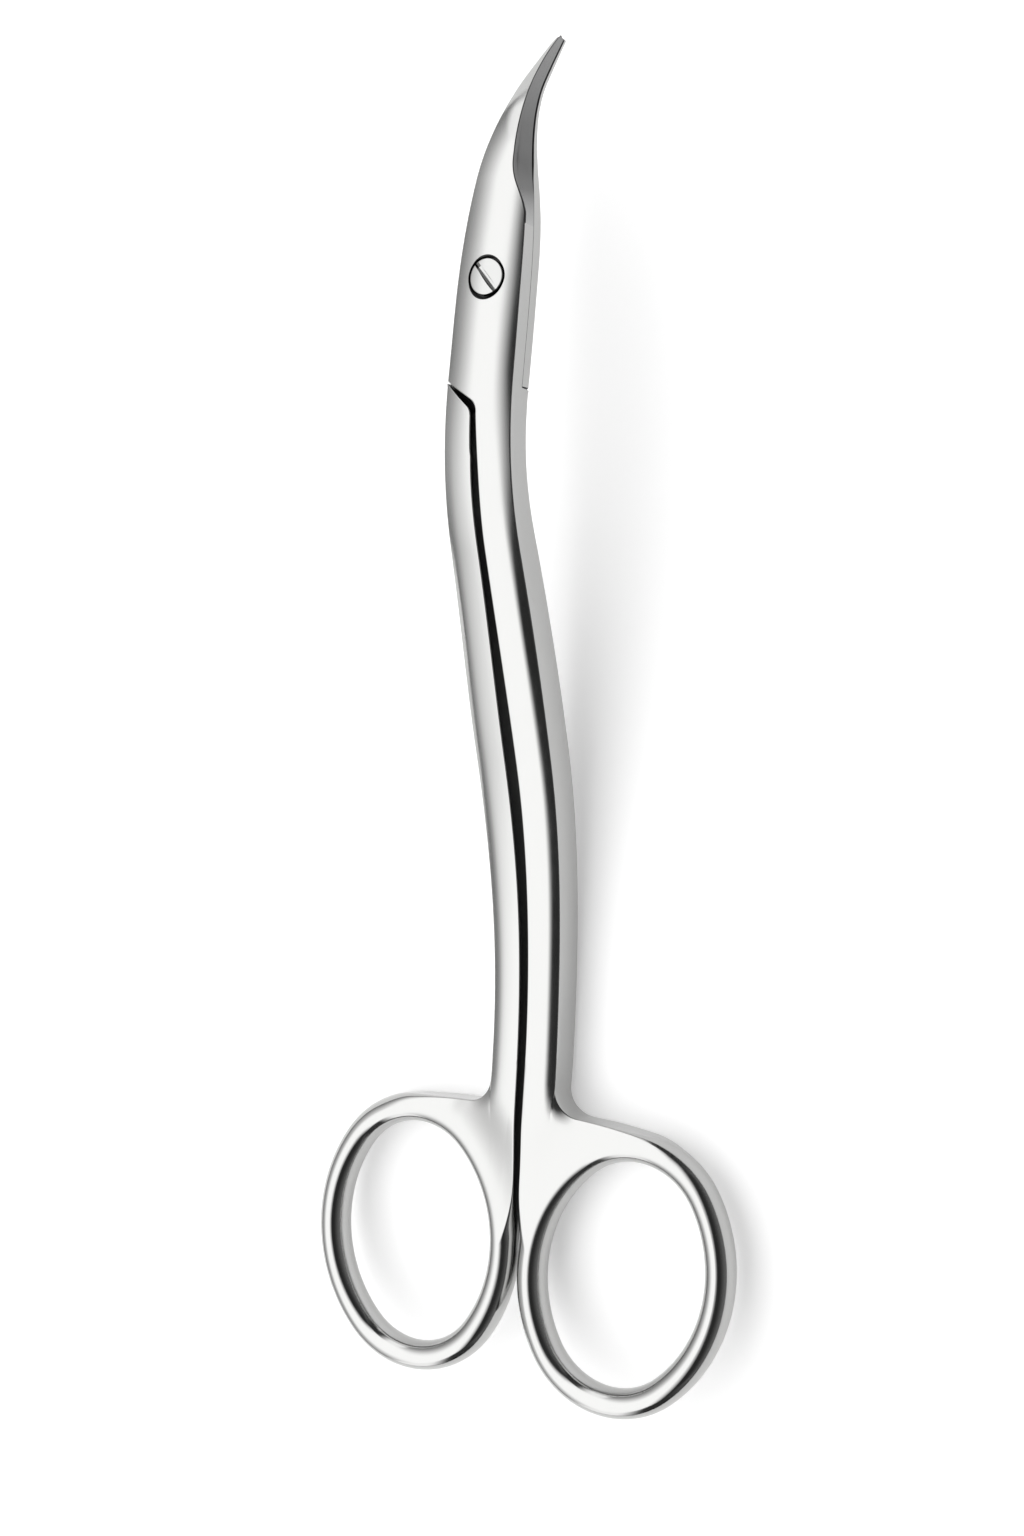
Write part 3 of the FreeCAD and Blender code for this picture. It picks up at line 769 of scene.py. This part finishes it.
    # Outward normals of the boundary, and the length of each ray that the rounded edge takes.
    normal = np.zeros((rows, 2))
    normal[:downLast + 1] = (1, 0)
    normal[downLast + 1:bendLast + 1] = (top[downLast + 1:bendLast + 1] - fillet) / v["webFillet"]
    normal[bendLast + 1:webLast + 1] = outwards
    normal[webLast + 1:] = rays[webLast + 1:]
    crossed = np.clip(np.abs((rays * normal).sum(axis=1)), own["crossLeast"], 1)
    roundRun = wide * (v["edgeRound"] / wide) ** blend / crossed
    most, less = own["edgeShare"]
    edgeRun = np.minimum(roundRun * own["edgeSpare"], length * (most - less * blend))
    inWeb = np.arange(rows) <= webLast

    # Across and up, the edge's rounding passes from the wire's quarter ellipse to a small radius.
    across = wide * (v["edgeRound"] / wide) ** blend
    upward = high * (v["edgeRound"] / high) ** blend

    def face(boundary, side):
        run = np.linspace(0, 1, own["plain"] + 1)[:-1]
        turn = np.sin(np.linspace(0, math.pi / 2, own["edge"]))
        t = np.concatenate([
            run[None, :] * (length - edgeRun)[:, None],
            (length - edgeRun)[:, None] + edgeRun[:, None] * turn[None, :]], axis=1)
        part = t / length[:, None]
        x = centres[:, None, 0] + (boundary - centres)[:, None, 0] * part
        y = centres[:, None, 1] + (boundary - centres)[:, None, 1] * part
        plan = np.stack([x, y], -1).reshape(-1, 2)
        feet, _ = nearestOnRing(plan)
        fromCrest = np.linalg.norm(plan - feet, axis=1).reshape(x.shape)
        crown = form.faceZ(x, y, side, 1 - fromOuter(x, y) / rootX) * side
        passing = ramp(fromCrest / own["crestRun"]) * ramp(own["passGain"] * beyond)[:, None]
        distance = np.where(inWeb[:, None], fromWalls(x, y), length[:, None] - t)
        inside = np.clip(1 - distance / across[:, None], 0, 1)
        drop = upward[:, None] * (1 - np.sqrt(1 - inside ** 2))
        height = high * (1 - passing) + crown * passing - drop
        points = np.stack([x, y, side * height], -1)
        points[rootFirst:rootLast + 1, -1] = rootTop if side > 0 else rootFoot
        return points

    phi = np.linspace(0, math.pi / 2, own["inner"])[:-1]
    back = -wide * np.cos(phi)
    innerX = centres[:, None, 0] + ways[:, None, 0] * back
    innerY = centres[:, None, 1] + ways[:, None, 1] * back
    innerZ = np.broadcast_to(high * np.sin(phi), innerX.shape)
    innerTop = np.stack([innerX, innerY, innerZ], -1)
    innerFoot = np.stack([innerX, innerY, -innerZ], -1)[:, :0:-1]
    upper = face(top, 1)
    lower = face(foot, -1)
    fall = np.linspace(0, 1, own["wall"])[None, 1:-1, None]
    wall = upper[:, -1:] * (1 - fall) + lower[:, -1:] * fall
    points = np.concatenate([innerTop, upper, wall, lower[:, ::-1], innerFoot], axis=1)
    columns = points.shape[1]
    quads = gridFaces(rows, columns, loop=True, ring=True)
    # The root stays open, as the shank goes on from it.
    firstWall = innerTop.shape[1] + upper.shape[1] - 1
    walls = slice(firstWall, firstWall + own["wall"] - 1)
    keep = np.ones(quads.shape[:2], bool)
    keep[rootFirst:rootLast, walls] = False
    kinds = np.zeros(quads.shape[:2], int)
    # Painted shade: the ring's walls that face the gap take the near-black steel.
    kinds[:rootFirst, walls] = 1
    points[..., 0] *= hand
    return points.reshape(-1, 3), quads[keep], kinds[keep]


# One whole half: the sections, the ring with its web, and the nose's cap. The kinds of face are polished
# steel, painted shade on the walls in the gap, and the ground bevel with its painted reflection.
def half(hand, name):
    own = shankValues
    s = rowPlaces()
    sections = halfSections(hand, s)
    rows, columns = sections.shape[:2]
    first = sections[0] * np.array([hand, 1, 1])
    crownStart = own["wall"] - 1
    crownEnd = crownStart + own["plain"] + 2 * len(quarterTurn) - 1
    outer = first[crownStart:crownEnd + 1]
    sideEnd = crownEnd + own["side"] - 1
    otherEnd = sideEnd + crownEnd - crownStart
    other = first[sideEnd:otherEnd + 1][::-1]
    rootTop, rootFoot = (outer, other) if hand > 0 else (other, outer)
    patch, patchFaces, patchKinds = ringPatch(hand, rootTop, rootFoot)
    shankFaces = gridFaces(rows, columns, loop=True)
    kinds = np.zeros(shankFaces.shape[:2], int)
    planY = form.at(s[:-1])[0]
    # Painted shade: the inner walls that face the gap, the risers and the lap faces take the near-black steel.
    hidden = form.innerEdge(planY) > own["hiddenEdge"] - form.width(planY)
    kinds[np.ix_(hidden, np.arange(crownStart))] = 1
    kinds[:, otherEnd:] = 1
    onBevel = s[:-1] > form.jointFrontS - form.v["bevel"]["start"]
    kinds[np.ix_(onBevel, np.arange(crownEnd, sideEnd))] = 2
    # Painted shade: a thin dark line along the blade's ridge, where the crown meets the bevel.
    kinds[np.ix_(onBevel, np.arange(crownEnd - own["paintedShadeRidge"], crownEnd))] = 1
    cap = [list(range((rows - 1) * columns, rows * columns))]
    faces = shankFaces.reshape(-1, 4).tolist() + cap + (patchFaces + rows * columns).tolist()
    points = np.concatenate([sections.reshape(-1, 3), patch])
    kinds = np.concatenate([kinds.ravel(), [0], patchKinds])
    made = meshObject(name, points, faces, [steel, paintedShadeSteel, groundSteelPaintedReflection], kinds)
    print(name, "triangles about", 2 * len(faces))
    return made


upperHalf = half(1, "upperHalf")
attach(upperHalf, "moving")
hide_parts("upper_half")
lowerHalf = half(-1, "lowerHalf")
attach(lowerHalf, "fixed")
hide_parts("lower_half")
print("halves made")

# Screw: a flat head with a broken edge in its counterbore, ground to the same crown as the leaf.
screwValues = {
    "headRadius": 2.16, "headDepth": 1.35, "chamfer": 0.09, "sunk": 0.02, "journal": 1.6, "thread": 1.3,
    "seatGap": 0.03, "lapGap": 0.04, "corners": 96, "faceRings": 14, "middleRadius": 0.15,
    "slot": {"width": 0.62, "depth": 0.75, "turn": -47.0, "share": 0.97, "bite": 0.05, "lip": 0.04,
             "flare": (0.6, 0.56)},
    "recessRadius": 2.44, "recessChamfer": 0.04, "recessRim": 0.1, "recessFlare": 0.9, "boreRadius": 1.63,
    "cutAbove": 3.0, "cutBelow": 1.0,
}


# A turned solid about the pivot, from radius and height pairs that start and end on the axis.
def turned(profile, count):
    angles = np.linspace(0, 2 * math.pi, count, endpoint=False)
    profile = np.array(profile, float)
    radius, height = profile[1:-1, 0], profile[1:-1, 1]
    x = radius[:, None] * np.cos(angles)
    y = radius[:, None] * np.sin(angles) + form.pivotY
    z = np.broadcast_to(height[:, None], x.shape)
    ring = np.stack([x, y, z], -1).reshape(-1, 3)
    ends = [[0, form.pivotY, profile[0, 1]], [0, form.pivotY, profile[-1, 1]]]
    points = np.concatenate([ring, ends])
    faces = gridFaces(len(radius), count, loop=True).reshape(-1, 4).tolist()
    last = len(ring)
    base = (len(radius) - 1) * count
    faces += [[k, (k + 1) % count, last] for k in range(count)]
    faces += [[base + k, base + (k + 1) % count, last + 1] for k in range(count)]
    return points, faces


crestZ = form.lapZ + float(form.above(form.pivotS))
seatZ = crestZ - screwValues["headDepth"]
wideR, chamfer = screwValues["recessRadius"], screwValues["recessChamfer"]
rimZ = crestZ - float(form.sag(form.pivotS, wideR)) + screwValues["recessRim"]
flareR, cutZ = wideR + chamfer + screwValues["recessFlare"], crestZ + screwValues["cutAbove"]
boreR, footZ = screwValues["boreRadius"], form.lapZ - screwValues["cutBelow"]
points, faces = turned([
    (0, cutZ), (flareR, cutZ), (flareR, rimZ + screwValues["recessFlare"]), (wideR, rimZ - chamfer),
    (wideR, seatZ), (boreR, seatZ), (boreR, footZ), (0, footZ)], screwValues["corners"])
# Painted shade: the counterbore's walls and rim take the near-black steel, a dark ring round the screw's head.
recess = meshObject("recess", points, faces, [paintedShadeSteel])
carve(upperHalf, recess)
shadeSmooth(upperHalf)
print("recess cut")


# The head's face follows the leaf's crown and drops at its rim; its skirt and shank are turned.
def screwHead():
    v, slot = screwValues, screwValues["slot"]
    count = v["corners"]
    angles = np.linspace(0, 2 * math.pi, count, endpoint=False)
    rim = v["headRadius"] - v["chamfer"]
    radii = np.concatenate([np.linspace(v["middleRadius"], rim, v["faceRings"]),
                            rim + v["chamfer"] * np.sin(quarterTurn[1:])])
    x = radii[:, None] * np.cos(angles)
    y = radii[:, None] * np.sin(angles) + form.pivotY
    s = form.pivotS + y - form.pivotY
    drop = roundOff(v["headRadius"] - radii, v["chamfer"])[:, None]
    z = form.lapZ + form.above(s) - form.sag(s, x) - drop - v["sunk"]
    face = np.stack([x, y, z], -1)
    seat, lap = seatZ + v["seatGap"], form.lapZ - v["lapGap"]
    runs = ((v["headRadius"], seat), (v["journal"], seat), (v["journal"], lap), (v["thread"], lap))
    skirt = [np.stack([r * np.cos(angles), r * np.sin(angles) + form.pivotY, np.full(count, h)], -1)
             for r, h in runs]
    lowX, lowY = v["thread"] * np.cos(angles), v["thread"] * np.sin(angles)
    lowS = form.pivotS + lowY
    low = np.stack([lowX, lowY + form.pivotY, form.lapZ - form.below(lowS) + form.sag(lowS, lowX)], -1)
    rings = np.concatenate([face, np.array(skirt), low[None]])
    rows = len(rings)
    faces = gridFaces(rows, count, loop=True).reshape(-1, 4).tolist()
    faces.append(list(range(count))[::-1])
    faces.append(list(range((rows - 1) * count, rows * count)))
    kinds = np.zeros(len(faces), int)
    # Painted shade: the head's side and its underside, in the gap of the counterbore, take the near-black
    # steel.
    kinds[(len(radii) - 1) * count:(len(radii) + 1) * count] = 1
    head = meshObject("pivotScrew", rings.reshape(-1, 3), faces, [screwSteel, paintedShadeSteel], kinds)
    across, along = slot["width"] / 2, v["headRadius"] * slot["share"]
    turn = math.radians(slot["turn"])
    bottom, lip = crestZ - slot["depth"], crestZ - slot["bite"] - slot["lip"]
    out, up = slot["flare"]
    upper = crestZ + up - slot["bite"]
    profile = [(-across, bottom), (across, bottom), (across, lip), (across + out, upper),
               (-across - out, upper), (-across, lip)]
    ends = []
    for far in (-along, along):
        for side, height in profile:
            ends.append((far * math.cos(turn) - side * math.sin(turn),
                         far * math.sin(turn) + side * math.cos(turn) + form.pivotY, height))
    n = len(profile)
    slotFaces = [[k, (k + 1) % n, n + (k + 1) % n, n + k] for k in range(n)]
    slotFaces += [list(range(n))[::-1], list(range(n, 2 * n))]
    # The slot's floor and ends are steel; its walls carry painted shade.
    slotKinds = [0, 1, 1, 0, 1, 1, 0, 0]
    carve(head, meshObject("slotCutter", ends, slotFaces, [screwSteel, paintedShadeSteel], slotKinds))
    shadeSmooth(head)
    return head


screw = screwHead()
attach(screw, "fixed")
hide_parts("pivot_screw")
print("screw made")

# Studio: a pale floor under a long tent whose inside glows in soft bands round the Y axis.
studioValues = {
    "floorColour": (0.82, 0.82, 0.82, 1.0), "floorHalf": 3.0, "floorGlow": 0.36, "world": 0.4,
    "tentRadius": 0.8, "tentHalf": 1.1, "tentRows": 181,
    # Round the Y axis: degrees from +X and level.
    "bands": [(0, 0.25), (12, 0.22), (32, 0.1), (48, 0.04), (69, 0.04), (91, 2.1), (124, 2.1), (140, 1.35),
              (155, 0.8), (170, 0.5), (180, 0.25)],
    # Across the two ends: metres along X and level, and the heights below which a share is left.
    "endBands": [(-0.8, 0.5), (-0.6, 1.8), (-0.25, 1.9), (0.0, 0.05), (0.35, 0.05), (0.8, 0.25)],
    "endFoot": (0.02, 0.18, 0.4),
}


def stageMesh(name, points, faces, material):
    mesh = bpy.data.meshes.new(name)
    mesh.from_pydata(points, [], faces)
    mesh.materials.append(material)
    made = bpy.data.objects.new(name, mesh)
    bpy.context.scene.collection.objects.link(made)
    return made


# Emission from bands of place and level, read along a value that runs from low to high. The foot, if
# any, holds two heights and the share that is left of the glow below them.
def bandGlow(name, bands, readPlace, foot=None):
    material, tree, shader = newMaterial(name, (0, 0, 0, 1))
    shader.inputs["Specular IOR Level"].default_value = 0
    start = objectPlace(tree)
    x = start.node("ShaderNodeSeparateXYZ", output=0, Vector=start)
    z = start.node("ShaderNodeSeparateXYZ", output=2, Vector=start)
    low, high = bands[0][0], bands[-1][0]
    share = (readPlace(x, z) - low) / (high - low)
    brightest = max(level for _, level in bands)
    level = share.toned([((at - low) / (high - low), glow / brightest) for at, glow in bands])
    if foot is not None:
        low, high, left = foot
        level = level * z.step(low, high, left, 1.0)
    tree.links.new(level.socket, shader.inputs["Emission Color"])
    shader.inputs["Emission Strength"].default_value = brightest
    return material


# 1 for the rays that show a surface to the camera, straight, mirrored or refracted, and 0 for others.
def shownRays(tree):
    path = tree.nodes.new("ShaderNodeLightPath")
    shown = Value(tree, path.outputs["Is Camera Ray"])
    for kind in ("Is Glossy Ray", "Is Transmission Ray"):
        shown = shown.maths("MAXIMUM", Value(tree, path.outputs[kind]))
    return shown


def studio(values):
    half = values["floorHalf"]
    ground, tree, shader = newMaterial("floor", values["floorColour"])
    glow = shownRays(tree) * values["floorGlow"]
    tree.links.new(glow.socket, shader.inputs["Emission Color"])
    shader.inputs["Emission Strength"].default_value = 1.0
    stageMesh("floor", [(-half, -half, 0), (half, -half, 0), (half, half, 0), (-half, half, 0)], [(0, 1, 2, 3)],
              ground)
    angles = np.radians(np.linspace(0, 180, values["tentRows"]))
    radius, far = values["tentRadius"], values["tentHalf"]
    count = len(angles)

    def arch(end):
        return [(radius * math.cos(a), end, radius * math.sin(a)) for a in angles]

    faces = [(k, k + 1, count + k + 1, count + k) for k in range(count - 1)]
    sideGlow = bandGlow("tent", values["bands"], lambda x, z: z.maths("ARCTAN2", x) * (180 / math.pi))
    panels = [stageMesh("tent", arch(-far) + arch(far), faces, sideGlow)]
    endGlow = bandGlow("tentEnds", values["endBands"], lambda x, z: x, values["endFoot"])
    for k, end in enumerate((-far, far)):
        panels.append(stageMesh("tentEnd" + str(k), arch(end), [tuple(range(count))], endGlow))
    for panel in panels:
        panel.visible_camera = False
    world = bpy.data.worlds.new("studio")
    bpy.context.scene.world = world
    world.use_nodes = True
    tree = world.node_tree
    level = shownRays(tree).step(0, 1, values["world"], 1.0)
    tree.links.new(level.socket, tree.nodes["Background"].inputs["Color"])


studio(studioValues)

# Camera: place and aim in the drawing's frame in millimetres, roll in degrees, lens in millimetres for
# a sensor as high as the frame.
cameraValues = {"place": (134.70, 86.751, 268.187), "aim": (-6.108, 80.213, 3.366), "roll": 5.428,
                "lens": 53.795, "sensor": 36.0, "clip": (0.01, 50.0)}


def makeCamera(values):
    data = bpy.data.cameras.new("camera")
    data.sensor_fit = "VERTICAL"
    data.sensor_height = values["sensor"]
    data.lens = values["lens"]
    data.clip_start, data.clip_end = values["clip"]
    place = Vector(values["place"])
    back = (place - Vector(values["aim"])).normalized()
    ahead = Vector((0, 1, 0))
    level = (ahead - back * ahead.dot(back)).normalized()
    right = level.cross(back)
    roll = math.radians(values["roll"])
    up = level * math.cos(roll) - right * math.sin(roll)
    right = up.cross(back)
    turn = Matrix((right, up, back)).transposed().to_4x4()
    camera = bpy.data.objects.new("camera", data)
    bpy.context.scene.collection.objects.link(camera)
    settledPlace = settled([values["place"]])[0]
    camera.matrix_world = Matrix.Translation(Vector(settledPlace)) @ toFloor @ turn
    bpy.context.scene.camera = camera
    return camera


makeCamera(cameraValues)
bpy.context.scene.view_settings.view_transform = "Standard"
bpy.context.view_layer.update()
